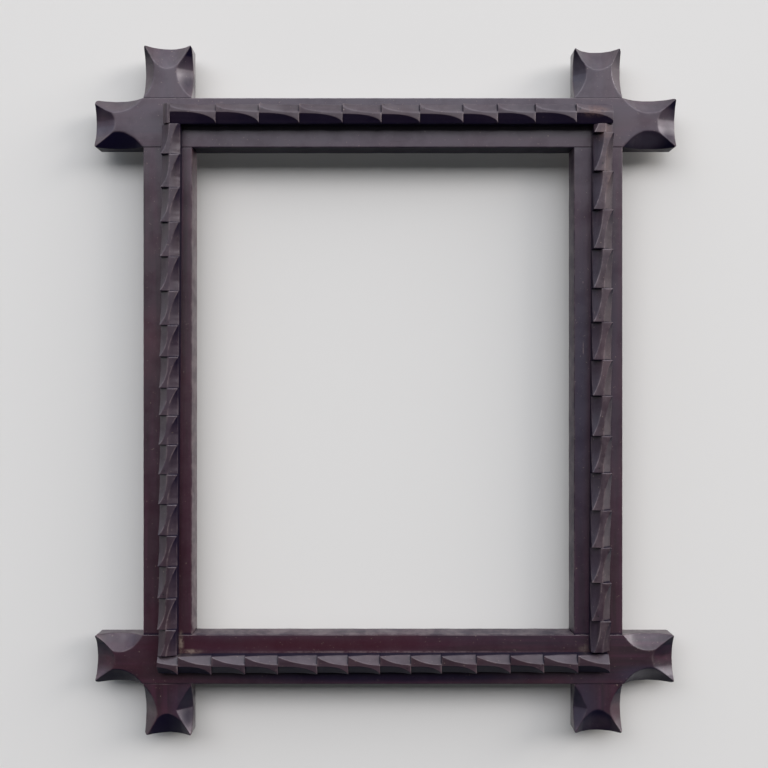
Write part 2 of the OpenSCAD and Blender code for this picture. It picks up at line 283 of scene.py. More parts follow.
# noises in the wood: scale, detail, roughness, and the values at which each one's mask starts and is full
woodNoises = {
    "streak": (1.0, 5, 0.6, 0.3, 0.72),
    "pores": (3.1, 3, 0.7, 0.6, 0.75),
    "band": (1.0, 3, 0.5, 0.45, 0.62),
    "blotch": (14, 4, 0.6, 0.42, 0.75),
    "broad": (4.3, 2, 0.5),
    "speck": (520, 2, 0.5, 0.7, 0.76),
    "sheen": (38, 5, 0.62, 0.3, 0.7),
    "worn": (95, 4, 0.65, 0.36, 0.66),
    "settled": (60, 5, 0.65, 0.3, 0.7),
    "broken": (230, 4, 0.7, 0.32, 0.6),
}

# the carved strips have lost more of their red
stripWood = dict(woodLook, middle=(0.038, 0.021, 0.029), warm=(0.052, 0.025, 0.03))

# worn and dusty places on the front, and places painted dark as shade and shadow, in mm: x, z, half width,
# half height, softness, strength
wornMarks = {
    "bare": [(196, 8, 20, 8, 0.95, 0.45), (206, -12, 10, 12, 0.95, 0.3), (208, -50, 8, 40, 0.95, 0.25)],
    "grime": [(0, -520.5, 205, 9, 0.7, 0.9), (-182.3, -540, 6, 9, 0.9, 0.75), (181.5, -540, 6, 12, 0.9, 0.75),
              (-184, 40, 10, 16, 0.9, 0.75), (-184, -560, 9, 16, 0.9, 0.75), (270, -10, 12, 14, 0.9, 0.65),
              (-247, -521, 22, 8, 0.8, 0.7)],
    "dust": [(-190, -489, 4, 15, 0.9, 0.65), (-181, -497, 15, 3, 0.9, 0.55), (189, -494, 7, 6, 0.95, 0.35)],
    "edge": [(188.3, -213, 0.7, 9.5, 0.6, 0.9), (179.2, -236, 0.8, 9, 0.8, 0.5),
             (188, -150, 1, 1.6, 0.7, 0.8), (-152, 19, 3, 1.2, 0.9, 0.4), (-208, -527.9, 15.5, 0.6, 0.8, 0.7),
             (186.2, -481.2, 6, 0.6, 0.8, 0.6), (218.6, -481.2, 6, 0.6, 0.8, 0.6),
             (0, -497.6, 190, 1.5, 0.8, 0.55)],
}

# places where the painted shade on what faces down is left off, in the same form
unshadedPlaces = [(246, -519, 28, 10, 0.8, 0.5), (183, 49, 12, 26, 0.8, 0.85), (248, -15, 26, 12, 0.8, 0.75),
               (-263, 1, 10, 18, 0.8, 0.8), (266, 8, 9, 14, 0.8, 0.8), (202, -566, 20, 12, 0.8, 0.45)]

# where the stain is redder and darker with a duller coat, where it is worn bare, where a blue-grey painted
# reflection of the sky lies on it, and the paler painted sheen over the top, in mm: colour, x, z, half width,
# half height, strength
stainTints = [
    ("cool", 186, -250, 11, 210, 0.9), ("cool", -60, 5, 260, 36, 0.5), ("cool", -20, -521, 200, 7, 0.5),
    ("cool", 213, -230, 17, 250, 0.6), ("cool", 183, 49, 14, 30, 0.9), ("cool", 248, -15, 34, 16, 1.0),
    ("cool", 246, -520, 34, 14, 0.9), ("cool", -185, -550, 30, 40, 0.6), ("cool", 186, -550, 34, 45, 0.7),
    ("faded", 0, 20, 480, 130, 0.78), ("bare", 207, -90, 16, 90, 0.09),
    ("bare", 206, -350, 26, 230, 0.065), ("bare", -197, -230, 26, 150, 0.045),
    ("maroon", -197, -400, 40, 200, 0.55), ("maroon", -60, -491, 230, 13, 0.9),
    ("maroon", -200, -500, 70, 42, 0.6),
]


# Old dark stain over straight grain: streaks, blotches, tinted places, worn arrises, settled dust, specks,
# painted shade and pin holes. Painted shade, dust and the redder places are duller than the rest.
def stainedWood(name, alongX, marks=(), unshaded=(), tints=(), pins=(), look=woodLook):
    m = Maker(name)

    def stretched(along, across):
        return m.stretched((along, across, across) if alongX else (across, across, along))

    grain = stretched(*look["grain"])
    vectors = {"streak": grain, "pores": grain, "band": stretched(*look["bands"])}
    noise = {key: m.noise(vectors.get(key, m.place), *values[:3]) for key, values in woodNoises.items()}

    def mask(key):
        return noise[key].ramp(*woodNoises[key][3:])

    worn = m.attribute("wear") * mask("worn")
    settled = m.attribute("dust") * mask("settled").atLeast(look["dustLeast"])
    # painted shade: near-black on what faces down, in the strips' hollows, on the slips and in placed marks,
    # left off at the unshaded places
    grime = m.attribute("grime") * noise["blotch"].atLeast(look["grimeLeast"])
    for x, z, width, height, soft, strength in unshaded:
        grime = grime * (1 - m.spot(x, z, width, height, soft) * strength)

    colour = m.mix(mask("streak"), look["deep"], look["middle"])
    colour = m.mix(mask("blotch") * look["warmShare"], colour, look["warm"])
    colour = m.mix(mask("band") * look["coolShare"], colour, look["cool"])
    reds = []
    for kind, x, z, width, height, strength in tints:
        here = m.spot(x, z, width, height, look["tintSoft"]) * strength
        here = (here * (look["tintLeast"] + noise["band"])).clipped()
        colour = m.mix(here, colour, look[kind])
        if kind == "maroon":
            reds.append(here)
    colour = m.mix(mask("pores") * look["poreShare"], colour, look["deep"])
    colour = m.mix((worn * look["wearShare"]).clipped(), colour, look["edge"])
    colour = m.mix((settled * look["filmShare"]).clipped(), colour, look["film"])
    colour = m.mix(mask("speck") * look["speckShare"], colour, look["dust"])
    colour = m.mix(grime.clipped(), colour, look["grime"])

    rough = (look["roughness"] + look["broadRough"] * (noise["broad"] - 0.5)
             + look["poreRough"] * (noise["pores"] - 0.5) + look["dustRough"] * settled)
    shadeMottled, flaked = noise["broken"].atLeast(look["smearLeast"]), mask("broken")
    for kind in marks:
        for x, z, width, height, soft, strength in wornMarks[kind]:
            here = m.spot(x, z, width, height, soft) * strength * (shadeMottled if kind == "grime" else flaked)
            colour = m.mix(here.clipped(), colour, look[kind])
            rough = rough + look["markRough"] * here
            if kind == "grime":
                grime = grime.most(here)
    relief = (look["poreRelief"] * noise["pores"] + look["streakRelief"] * noise["streak"]
              + look["blotchRelief"] * noise["blotch"] - look["wornRelief"] * worn)
    for x, z in pins:
        hole = m.spot(x, z, look["holeSize"], look["holeSize"], look["holeSoft"])
        colour = m.mix(hole, colour, look["hole"])
        relief = relief - look["holeRelief"] * hole
    gloss = look["coat"] * (look["sheenLeast"] + look["sheenSpan"] * mask("sheen"))
    gloss = gloss * (1 - look["grimeDulls"] * grime.clipped()) * (1 - look["dustDulls"] * settled)
    for here in reds:
        gloss = gloss * (1 - look["maroonDulls"] * here)

    m.feed("Base Color", colour)
    m.feed("Roughness", rough.clipped())
    m.feed("Coat Weight", gloss.clipped())
    m.feed("Coat IOR", look["coatIor"])
    m.feed("Specular IOR Level", look["baseSpecular"])
    m.feed("Coat Roughness", look["coatRoughness"])
    m.bump(relief, look["bumpStrength"], look["bumpHeight"])
    return m.material


steelLook = {
    "patches": (420, 5, 0.65),
    "rust": (0.13, 0.055, 0.03),
    "rustRange": (0.5, 0.68),
    "roughLeast": 0.36,
    "roughSpan": 0.3,
    "bumpStrength": 0.3,
    "bumpHeight": 0.2 * mm,
}


# Wire with a grey film, and rust in patches.
def dulledSteel(name, colour, rust, look=steelLook):
    m = Maker(name)
    patch = m.noise(m.place, *look["patches"])
    rusted = patch.ramp(*look["rustRange"]) * rust
    m.feed("Base Color", m.mix(rusted, colour, look["rust"]))
    m.feed("Metallic", 1 - rusted)
    m.feed("Roughness", (look["roughLeast"] + look["roughSpan"] * patch).clipped())
    m.bump(patch, look["bumpStrength"], look["bumpHeight"])
    return m.material


# A plain surface round the frame. The wall is clear from its back, so that it hides nothing from there.
def plainStage(name, colour, seeThroughBack=False):
    m = Maker(name)
    m.feed("Base Color", (*colour, 1))
    m.feed("Roughness", 0.9)
    m.feed("Specular IOR Level", 0.1)
    if seeThroughBack:
        clear = m.add("ShaderNodeBsdfTransparent", {}, {})
        back = m.add("ShaderNodeNewGeometry", {}, {}, "Backfacing")
        both = m.add("ShaderNodeMixShader", {}, {0: back, 1: Wire(m, m.shader.outputs[0]), 2: clear})
        m.tree.links.new(both.out, m.tree.nodes["Material Output"].inputs["Surface"])
    return m.material


# boards

boardLook = {
    "hornStep": 0.6 * mm,
    "acrossStep": 0.63 * mm,
    "bodyStep": 5 * mm,
    "hornOverlap": 2 * mm,
    "bodyInset": 4 * mm,
    "arris": 0.5 * mm,
    "arrisVary": 0.45,
    "backArris": 0.5 * mm,
    "soft": 0.3 * mm,  # where two scoops meet
    "thinEdge": 0.6 * mm,  # wood left under the deepest scoop
    "leastWood": 0.2 * mm,
    "tipRound": 2.7 * mm,
    "land": 0.8 * mm,  # left uncut at both ends of a scoop
    "lapDepth": 12 * mm,
    "lapGap": 0.15 * mm,
    "rowGap": 0.05 * mm,
    "facets": 5,
    "facetShare": 0.3,
    "facetVary": 0.25,
    "facetStroke": 0.5 * mm,
    "facetDepth": 0.03,
    "handCut": 0.12 * mm,  # how much the scoops waver
    "handWaves": (31 * mm, 23 * mm),
    "arrisWave": 17 * mm,
    "uneven": 0.05 * mm,
    "unevenWave": 83 * mm,
    "crestWear": 0.42,
    "crestWidth": 0.4 * mm,
    "rimWidth": 0.45 * mm,
    "backWear": 0.6,
    "wallWear": 0.4,
    "wallRows": (0.02, 0.35, 0.7, 0.98),
    "dust": 0.8,
}

# the scoops of each horn, in mm: how far in over the front, how far down the side, how far they run out
# past the tip, and the share of two straight cuts that meet in a crease
hornScoops = {
    "topLeft": {"outer": (13.2, 15, 9.3, 0), "inner": (14.4, 9.5, 0, 0.05), "end": (19.5, 10, 0, 0)},
    "topRight": {"outer": (13.8, 12.5, 1, 0), "inner": (15.1, 11, 0, 0), "end": (18, 8.8, 0, 0)},
    "bottomLeft": {"outer": (13.8, 14.4, 5.5, 0), "inner": (16, 10.4, 0, 0), "end": (19, 13, 0, 0)},
    "bottomRight": {"outer": (15, 15.6, 3.9, 0), "inner": (14.5, 9.2, 0, 0), "end": (20.9, 10.6, 0, 0)},
    "leftTop": {"outer": (10.3, 11.2, 1, 0), "inner": (14, 12, 0, 0), "end": (22, 15, 0, 0.1)},
    "leftFoot": {"outer": (13, 13.5, 7.3, 0.1), "inner": (14.5, 13.2, 0, 0.75), "end": (21.3, 12.5, 0, 0.15)},
    "rightTop": {"outer": (10.3, 13.1, 7.1, 0), "inner": (11.6, 12, 0, 0.15), "end": (20.7, 17.5, 0, 0)},
    "rightFoot": {"outer": (11.6, 11.5, 0, 0.1), "inner": (11.9, 9.2, 0, 0.6), "end": (22.5, 11.9, 0, 0.1)},
}


# Depth below the front of a straight-ruled cut across an arris. It is a circle seen along its ruling,
# through both ends of the arris; it is blended with a run of short flats, as left by single strokes of the
# tool, and with two straight cuts that meet in the middle.
def scoopDepth(s, inset, length, scoop, seed, look=boardLook):
    over, down, past, crease = scoop[0] * mm, scoop[1] * mm, scoop[2] * mm, scoop[3]
    slope = math.atan2(down, over)
    sag = over * math.sin(slope)
    full = length + past
    half = full / 2 - look["land"]
    radius = half**2 / (2 * sag) + sag / 2

    def arc(at):
        return np.sqrt(np.maximum(radius**2 - (at - full / 2) ** 2, 0)) - (radius - sag)

    hand = np.random.default_rng(seed)
    vary = look["facetVary"]
    knots = full * (np.arange(look["facets"] + 1) / look["facets"])
    knots[1:-1] += hand.uniform(-vary, vary, look["facets"] - 1) * full / look["facets"]
    flats = (np.interp(s, knots, arc(knots)) + np.interp(s + look["facetStroke"], knots, arc(knots))) / 2
    flats += sag * look["facetDepth"]
    straight = sag * (1 - np.abs(s - full / 2) / half)
    share = look["facetShare"]
    normal = (1 - crease) * ((1 - share) * arc(s) + share * flats) + crease * straight
    return (normal - inset * math.sin(slope)) / math.cos(slope)


# The larger of two depths, rounded where they meet: (a + b + sqrt((a - b)2 + k2)) / 2.
def softMost(a, b, k):
    return (a + b + np.sqrt((a - b) ** 2 + k**2)) / 2


# The rows along a board, fine on the horns and coarse between them. A lap is given by its middle and its
# width. Its wall is a step in the depth, so two rows stand there, one flagged as inside the lap.
def boardRows(half, horns, laps, look=boardLook):
    rows = [np.arange(-half + look["bodyInset"], half - look["bodyInset"], look["bodyStep"])]
    for side, horn in zip((-1, 1), horns):
        fromTip = edgedLine(2 * horn, look["hornStep"])[: int(horn / look["hornStep"]) + 4]
        s = horn - fromTip
        rows.append(side * (half + s[s > -look["hornOverlap"]]))
    xs = np.sort(np.concatenate(rows))
    walls = [(c + side * (w / 2 + look["lapGap"]), side) for c, w in laps for side in (-1, 1)]
    for x, side in walls:
        xs = xs[np.abs(xs - x) > look["rowGap"]]
    inside = np.zeros(len(xs), bool)
    for c, w in laps:
        inside |= np.abs(xs - c) < w / 2 + look["lapGap"]
    flags = np.concatenate([inside] + [[side > 0, side < 0] for x, side in walls])
    rank = np.concatenate([np.zeros(len(xs))] + [[0, 1] for wall in walls])
    xs = np.concatenate([xs] + [[x, x] for x, side in walls])
    order = np.lexsort((rank, xs))
    return xs[order][:, None], flags[order][:, None]


# The front and the back of a board as two grids over (x, u), with x along it and u towards its outer side.
# The front's depth is the largest of the flat and of each scoop's depth. Returns x, u, the depth of the
# front, the depth of the back, and the wear.
def boardPoints(half, width, horns, scoops, laps, lapInFront, seed, look=boardLook):
    xs, flags = boardRows(half, horns, laps)
    toInner = edgedLine(width, look["acrossStep"])[None, :] * np.ones_like(xs)
    toOuter = width - toInner
    u = toInner - width / 2
    s = (np.abs(xs) - half) * np.ones_like(u)
    far = 1.0
    fromTip = np.where(s > 0, np.where(xs < 0, horns[0], horns[1]) - s, far)
    waveX, waveU = look["handWaves"]
    hand = look["handCut"] * (ripple(xs + 0 * u, waveX, seed) + ripple(u, waveU, seed + 1))
    depth = np.zeros_like(u)
    crest = np.zeros_like(u)
    for k, name in enumerate(scoops):
        here = ((xs < 0) if k == 0 else (xs > 0)) & (s > -look["hornOverlap"])
        cuts = (("outer", s, toOuter, horns[k]), ("inner", s, toInner, horns[k]),
                ("end", toOuter, horns[k] - s, width))
        for j, (kind, at, inset, length) in enumerate(cuts):
            cut = scoopDepth(at, inset, length, hornScoops[name][kind], 10 * seed + 3 * k + j) + hand
            cut = np.where(here, cut, -far)
            crest = np.maximum(crest, np.exp(-(((cut - depth) / look["crestWidth"]) ** 2)))
            depth = softMost(depth, cut, look["soft"])
    toSide = np.minimum(toOuter, toInner)
    rim = np.minimum(toSide, fromTip)
    arris = look["arris"] * (1 + look["arrisVary"] * ripple(xs + u, look["arrisWave"], seed + 2))
    wear = np.maximum(crest * look["crestWear"], np.exp(-((rim / look["rimWidth"]) ** 2)))
    depth = depth + quarterRound(toSide, arris) + quarterRound(fromTip, arris)
    depth = depth + look["uneven"] * (1 + ripple(xs + 0 * u, look["unevenWave"], seed + 3))
    if lapInFront:
        depth = np.where(flags, look["lapDepth"], depth)
    depth = np.minimum(depth, boardT - look["thinEdge"])
    back = np.where(flags & (not lapInFront), look["lapDepth"], boardT) * np.ones_like(u)
    lost = quarterRound(toSide, look["backArris"]) + quarterRound(fromTip, look["backArris"])
    back = np.maximum(back - lost, depth + look["leastWood"])

    # tips worn round: near a corner, the distances to both edges are drawn in to a quarter circle
    r = look["tipRound"]
    a, b = np.clip(r - fromTip, 0, None), np.clip(r - toSide, 0, None)
    draw = np.where((a > 0) & (b > 0), np.maximum(a, b) / np.maximum(np.hypot(a, b), 1e-9), 1)
    x = np.sign(xs) * (np.abs(xs) - a * (1 - draw))
    u = u - np.where(toOuter < toInner, 1, -1) * b * (1 - draw)
    return x, u, depth, back, wear


# A board as one closed skin: its front grid, its back grid and rows of wall between their rims.
def makeBoard(name, node, place, material, plan, look=boardLook):
    x, u, depth, back, wear = boardPoints(**plan)
    rows, cols = x.shape
    front = np.stack([x, u, depth], -1).reshape(-1, 3)
    rear = np.stack([x, u, back], -1).reshape(-1, 3)
    index = np.arange(rows * cols).reshape(rows, cols)
    rim = np.concatenate([index[0, :-1], index[:-1, -1], index[-1, :0:-1], index[:0:-1, 0]])
    shares = np.array(look["wallRows"])[:, None, None]
    walls = (front[rim] + (rear[rim] - front[rim]) * shares).reshape(-1, 3)
    points = np.concatenate([front, rear, walls])
    wear = wear.ravel()
    wallWear = np.tile(wear[rim] * look["wallWear"], len(shares))
    wears = np.concatenate([wear, wear * look["backWear"], wallWear])
    faces = [gridFaces(rows, cols), gridFaces(rows, cols, rows * cols)[:, ::-1]]
    inWall = 2 * rows * cols + np.arange(len(rim))
    layers = [rim] + [inWall + k * len(rim) for k in range(len(shares))] + [rim + rows * cols]
    for a, b in zip(layers[:-1], layers[1:]):
        faces.append(np.stack([a, b, np.roll(b, -1), np.roll(a, -1)], -1))
    faces = np.concatenate(faces)
    piece = makePiece(name, place(points), faces, material,
                      {"wear": wears, "dust": 0 * wears, "grime": 0 * wears})
    settleDustAndShade(piece, look["dust"])
    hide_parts(node)
    print("board", name, len(faces), "faces")


# how sharply dust keeps to level places, and how steeply painted shade darkens what faces down, and from
# where
dustAndShadeLook = {"dustPower": 1.3, "sootSlope": 2.45, "sootStart": 0.12}


# Dust lies on what faces up and painted shade on what faces down: both follow the vertex normals.
def settleDustAndShade(piece, amount, look=dustAndShadeLook):
    mesh = piece.data
    count = len(mesh.vertices)
    normals, grime = np.empty(count * 3, np.float32), np.empty(count, np.float32)
    mesh.vertices.foreach_get("normal", normals)
    mesh.attributes["grime"].data.foreach_get("value", grime)
    facing = normals.reshape(-1, 3)[:, 2]
    up = np.clip(facing, 0, 1) ** look["dustPower"] * amount
    down = np.clip(-look["sootSlope"] * facing - look["sootStart"], 0, 1)
    mesh.attributes["dust"].data.foreach_set("value", up.astype(np.float32))
    mesh.attributes["grime"].data.foreach_set("value", np.maximum(grime, down).astype(np.float32))


# Puts points on the frame: along a level or upright piece, outward from its line, and back from its front.
def onFrame(line, outward, upright):
    def place(p):
        along, across, deep = p.T
        across = line + outward * across
        if upright:
            return np.stack([across, deep - boardT, middleZ + along], -1)
        return np.stack([along, deep - boardT, across], -1)
    return place


def makeBoards():
    railWood = stainedWood("rail wood", True, ("dust", "edge", "grime"), unshadedPlaces, stainTints)
    stileWood = stainedWood("stile wood", False, ("dust", "edge", "grime"), unshadedPlaces, stainTints)
    railLaps = [(-stileX, stileW), (stileX, stileW)]
    stileLaps = [(-railDrop / 2, railW), (railDrop / 2, railW)]
    rails = [("top", topLow, topHigh, 0, 1, ("topLeft", "topRight"), 1),
             ("bottom", bottomLow, bottomHigh, -railDrop, -1, ("bottomLeft", "bottomRight"), 2)]
    for side, low, high, line, outward, scoops, seed in rails:
        plan = dict(half=bodyX, width=railW, horns=(-low.x - bodyX, high.x - bodyX), scoops=scoops,
                    laps=railLaps, lapInFront=False, seed=seed)
        makeBoard(side + "RailBoard", side + "_rail", onFrame(line, outward, False), railWood, plan)
    half = railDrop / 2 + railW / 2
    stiles = [("left", leftLow, leftHigh, -stileX, -1, ("leftFoot", "leftTop"), 3),
              ("right", rightLow, rightHigh, stileX, 1, ("rightFoot", "rightTop"), 4)]
    for side, low, high, line, outward, scoops, seed in stiles:
        plan = dict(half=half, width=stileW, horns=(middleZ - half - low.z, high.z - middleZ - half),
                    scoops=scoops, laps=stileLaps, lapInFront=True, seed=seed)
        makeBoard(side + "StileBoard", side + "_stile", onFrame(line, outward, True), stileWood, plan)


# slips

slipLook = {
    "taper": 2.8 * mm,
    "arris": 0.3 * mm,
    "arrisPoints": 4,
    "mostOfEdge": 0.45,
    "uneven": 0.1 * mm,
    "unevenWave": 47 * mm,
    "step": 6 * mm,
    "mitreRow": 0.9 * mm,  # from the mitre to the next row
    "mitreWear": 0.9,
    "wearWidth": 0.6 * mm,
    "dust": 1.0,
}


# A corner of an outline as points on a short curve between a and c: (1 - q)2 a + 2q(1 - q) corner + q2 c,
# with q from 0 to 1.
def roundedCorner(a, corner, c, count):
    return [(1 - q) ** 2 * a + 2 * q * (1 - q) * corner + q * q * c for q in np.linspace(0, 1, count)]


# A mitred slip: its outline, with a tapered inner face and two rounded arrises, carried along it. Each
# outline point starts and stops on the mitres, so a point further in has a shorter run. The rows at both ends
# are close together, and the last ones are worn pale.
def makeSlip(name, node, length, place, material, seed, shadeLevel, look=slipLook):
    low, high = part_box(node)
    thick = min(high.x - low.x, high.z - low.z)
    deep = high.y - low.y
    corners = np.array([(0, 0), (0, look["taper"] - thick), (deep, -thick), (deep, 0)])
    outline = [corners[0]]
    for before, corner, after in zip(corners, corners[1:3], corners[2:]):
        start, stop = before - corner, after - corner
        a = corner + start * min(look["mostOfEdge"], look["arris"] / np.linalg.norm(start))
        c = corner + stop * min(look["mostOfEdge"], look["arris"] / np.linalg.norm(stop))
        outline += roundedCorner(a, corner, c, look["arrisPoints"])
    outline = np.array(outline + [corners[3]])
    nearEnd = 1 - look["mitreRow"] / (length / 2)
    shares = np.linspace(-nearEnd, nearEnd, max(3, int(length / look["step"])))
    shares = np.concatenate([[-1], shares, [1]])[:, None]
    rows, cols = len(shares), len(outline)
    x = shares * (length / 2 + outline[None, :, 1])
    wobble = look["uneven"] * (1 + ripple(x, look["unevenWave"], seed))
    inward = np.clip(-outline[None, :, 1] / thick, 0, 1)
    across = np.repeat(outline[None, :, 1], rows, 0) + wobble * inward
    points = np.stack([x, across, np.repeat(outline[None, :, 0], rows, 0)], -1).reshape(-1, 3)
    centres = [(x[0].mean(), -thick / 2, deep / 2), (x[-1].mean(), -thick / 2, deep / 2)]
    points, faces = cappedTube(points, rows, cols, centres)
    fromArris = np.linalg.norm(outline[:, None] - corners[None, 1:3], axis=2).min(1)
    wear = np.tile(np.exp(-((fromArris / look["wearWidth"]) ** 2)), (rows, 1))
    wear[[0, -1]] = look["mitreWear"]
    wears = np.concatenate([wear.ravel(), [0, 0]])
    piece = makePiece(name, place(points), faces, material,
                      {"wear": wears, "dust": 0 * wears, "grime": 0 * wears + shadeLevel})
    settleDustAndShade(piece, look["dust"])
    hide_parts(node)
    print("slip", name)


def makeSlips():
    levelWood = stainedWood("slip wood, level", True, ("dust",))
    uprightWood = stainedWood("slip wood, upright", False, ("edge",))
    # the last number of each is painted shade laid over the whole slip, besides the painted shade on what
    # faces down
    slips = [("top", openingW, onFrame(-railW / 2, 1, False), levelWood, 5, 0.6),
             ("bottom", openingW, onFrame(railW / 2 - railDrop, -1, False), levelWood, 6, 0.1),
             ("left", openingH, onFrame(-openingW / 2, -1, True), uprightWood, 7, 0.1),
             ("right", openingH, onFrame(openingW / 2, 1, True), uprightWood, 8, 0.5)]
    for side, length, place, wood, seed, shadeLevel in slips:
        makeSlip(side + "SlipWood", side + "_slip", length, place, wood, seed, shadeLevel)


# carved strips

stripLook = {
    "ridge": 0.8 * mm,  # left flat between the two deepest cuts
    "rowsPerTooth": 34,
    "plainRows": 9,
    "flatSteps": 7,
    "curvePoints": 5,
    "mostOfEdge": 0.48,
    "arris": 0.34 * mm,
    "stopRound": (0.3 * mm, 0.85 * mm),
    "endRound": 0.5 * mm,
    "cutVary": {"upper": 0.06, "lower": 0.08},
    "bendVary": 0.07,
    "leastCut": 0.03,  # how far the arrises are worn where nothing is cut
    "leastCutWave": 13 * mm,
    "chatter": 0.07 * mm,
    "chatterWave": 7.5 * mm,
    "notch": 0.9 * mm,  # how far the painted shade reaches from a stop cut
    "notchBelow": 0.4 * mm,
    "tipWear": (0.1, 1),
    "tipLength": 1.3 * mm,
    "tipAbove": 0.5,
    "drawnWear": 0.2 * mm,  # an edge that draws in this far is fully worn
    "drawnAbove": 0.45,
    "drawnFoot": 0.5 * mm,
    "endCentre": 0.35,
    # how dark the painted shade on a strip is at its fullest
    "soil": 0.85,
    "dust": 1.0,
    "endBevel": {"top": 4 * mm, "bottom": 0, "left": 0, "right": 0},
    "lowerRidgeArris": {"top": 0.34 * mm, "bottom": 0.34 * mm, "left": 0.5 * mm, "right": 0.5 * mm},
    "upperRidgeArris": {"top": 1.2 * mm, "bottom": 0.34 * mm, "left": 0.5 * mm, "right": 0.5 * mm},
    # painted shade on each strip's lower facets, on the left strip's upper facets near their start, and on
    # the arrises
    "lowerSoil": {"top": 0.5, "bottom": 1.0, "left": 0, "right": 0.12},
    "upperSoil": {"top": 0, "bottom": 0, "left": 0.9, "right": 0},
    "upperSoilShare": 0.42,
    "upperSoilEdge": 0.8 * mm,
    "upperSoilOver": 0.3,
    "arrisWear": 0.9,
    "arrisSoil": 0.3,
    "curveEndWear": 0.4,
    "crestWear": {"top": 0.1, "bottom": 0.5, "left": 0.9, "right": 1.0},
    "ridgeWear": {"top": 0, "bottom": 0, "left": 0.05, "right": 0.3},
}

# tooth lengths along each strip, as shares, from left to right and from top to bottom
stripTeeth = {
    "top": [46, 43, 40.5, 43.5, 39, 38.5, 43.3, 34.7, 37.7, 41.1, 37.6],
    "bottom": [33.5, 33.5, 33.7, 33, 39.3, 31, 32, 31, 30.7, 35, 33.8, 33.7, 34.1, 33],
    "left": [34, 33.7, 34.6, 34.4, 34.5, 34.3, 31.7, 31.3, 27.5, 29.5, 29.5, 30, 31.3, 31, 31.7, 31.5, 31],
    "right": [38, 38.5, 38.5, 39.5, 39.5, 34, 37.8, 36, 40.2, 37, 37.5, 37.3, 35.2, 38.2, 37],
}
# what was sawn off the first and the last tooth, in the same shares; below zero, what was left uncut
stripEnds = {"top": (-7.4, 1), "bottom": (12.6, 1.3), "left": (3.5, 4.4), "right": (29, 5.3)}
# how far the cuts go down the upper or right side and the other side, in mm
stripDowns = {"top": (7.35, 3.8), "bottom": (6.1, 8.2), "left": (4.2, 8.2), "right": (9.8, 9.8)}
# the cuts' curves over a tooth: the lower one is (1 - t^a)^b and the upper one d * (1 - (1 - t)^c)^e
stripCurves = {
    "top": (3, 0.6, 2, 1, 0.42),
    "bottom": (3.6, 0.8, 2, 1, 0.9),
    "left": (3, 1, 2, 1.15, 1),
    "right": (2.2, 1, 2, 1, 0.7),
}
# how far each strip's ridge lies off its middle, at even places along it, as shares of half the width
stripRidges = {
    "top": (0.2, 0.18, 0.06, 0.0, 0.03, 0.1, 0.14),
    "bottom": (0, 0.03, -0.03, 0.02, 0),
    "left": (0, 0.05, -0.03, 0.04, 0),
    "right": (0.03, -0.03, 0.04, 0, 0.03),
}
# how much further right an upright strip stands at its top, and how much higher a level one at its right
stripLeans = {"top": 0, "bottom": 1.4 * mm, "left": 3.6 * mm, "right": 2.8 * mm}
# pins: the tooth, the share of it, and how far up or right of the strip's middle, in mm
stripPins = {
    "top": [(1, 0.11, 4.15), (2, 0.09, 4.65), (6, 0.1, 4.15), (10, 0.1, 4.15)],
    "bottom": [(2, 0.87, -2.8), (7, 0.87, -2.8), (11, 0.87, -2.8)],
    "left": [(1, 0.87, -3.06), (5, 0.87, -3.06), (10, 0.87, -3.06), (14, 0.87, -3.06)],
    "right": [(1, 0.8, -1.45), (5, 0.87, -3.28), (9, 0.87, -3.09), (13, 0.87, -3.09)],
}


# The length of each tooth of a strip, and where each starts.
def toothPlaces(side, length):
    shares, ends = np.array(stripTeeth[side], float), stripEnds[side]
    whole = shares.sum() - sum(ends)
    lengths = shares * length / whole
    starts = np.cumsum(lengths) - lengths - ends[0] * length / whole
    return lengths, starts


# The rows along a strip: their places, each one's tooth, and its share t of that tooth, from 0 to 1. Two
# rows at each stop cut's place make its step. The teeth run past the ends by what was sawn off, and an end
# that was left uncut has rows with t below 0.
def toothRows(side, length, look=stripLook):
    lengths, starts = toothPlaces(side, length)
    n = look["rowsPerTooth"]
    even = (1 - np.cos(np.pi * np.arange(n + 1) / n)) / 2
    xs, teeth, shares = [], [], []
    if starts[0] > 0:
        xs.append(np.linspace(0, starts[0], look["plainRows"]))
        teeth.append(np.full(look["plainRows"], 0))
        shares.append(np.full(look["plainRows"], -1.0))
    for i, (start, run) in enumerate(zip(starts, lengths)):
        first, last = max(0, -start / run), min(1, (length - start) / run)
        t = first + (last - first) * even
        xs.append(start + run * t)
        teeth.append(np.full(n + 1, i))
        shares.append(t)
    return np.concatenate(xs), np.concatenate(teeth), np.concatenate(shares)
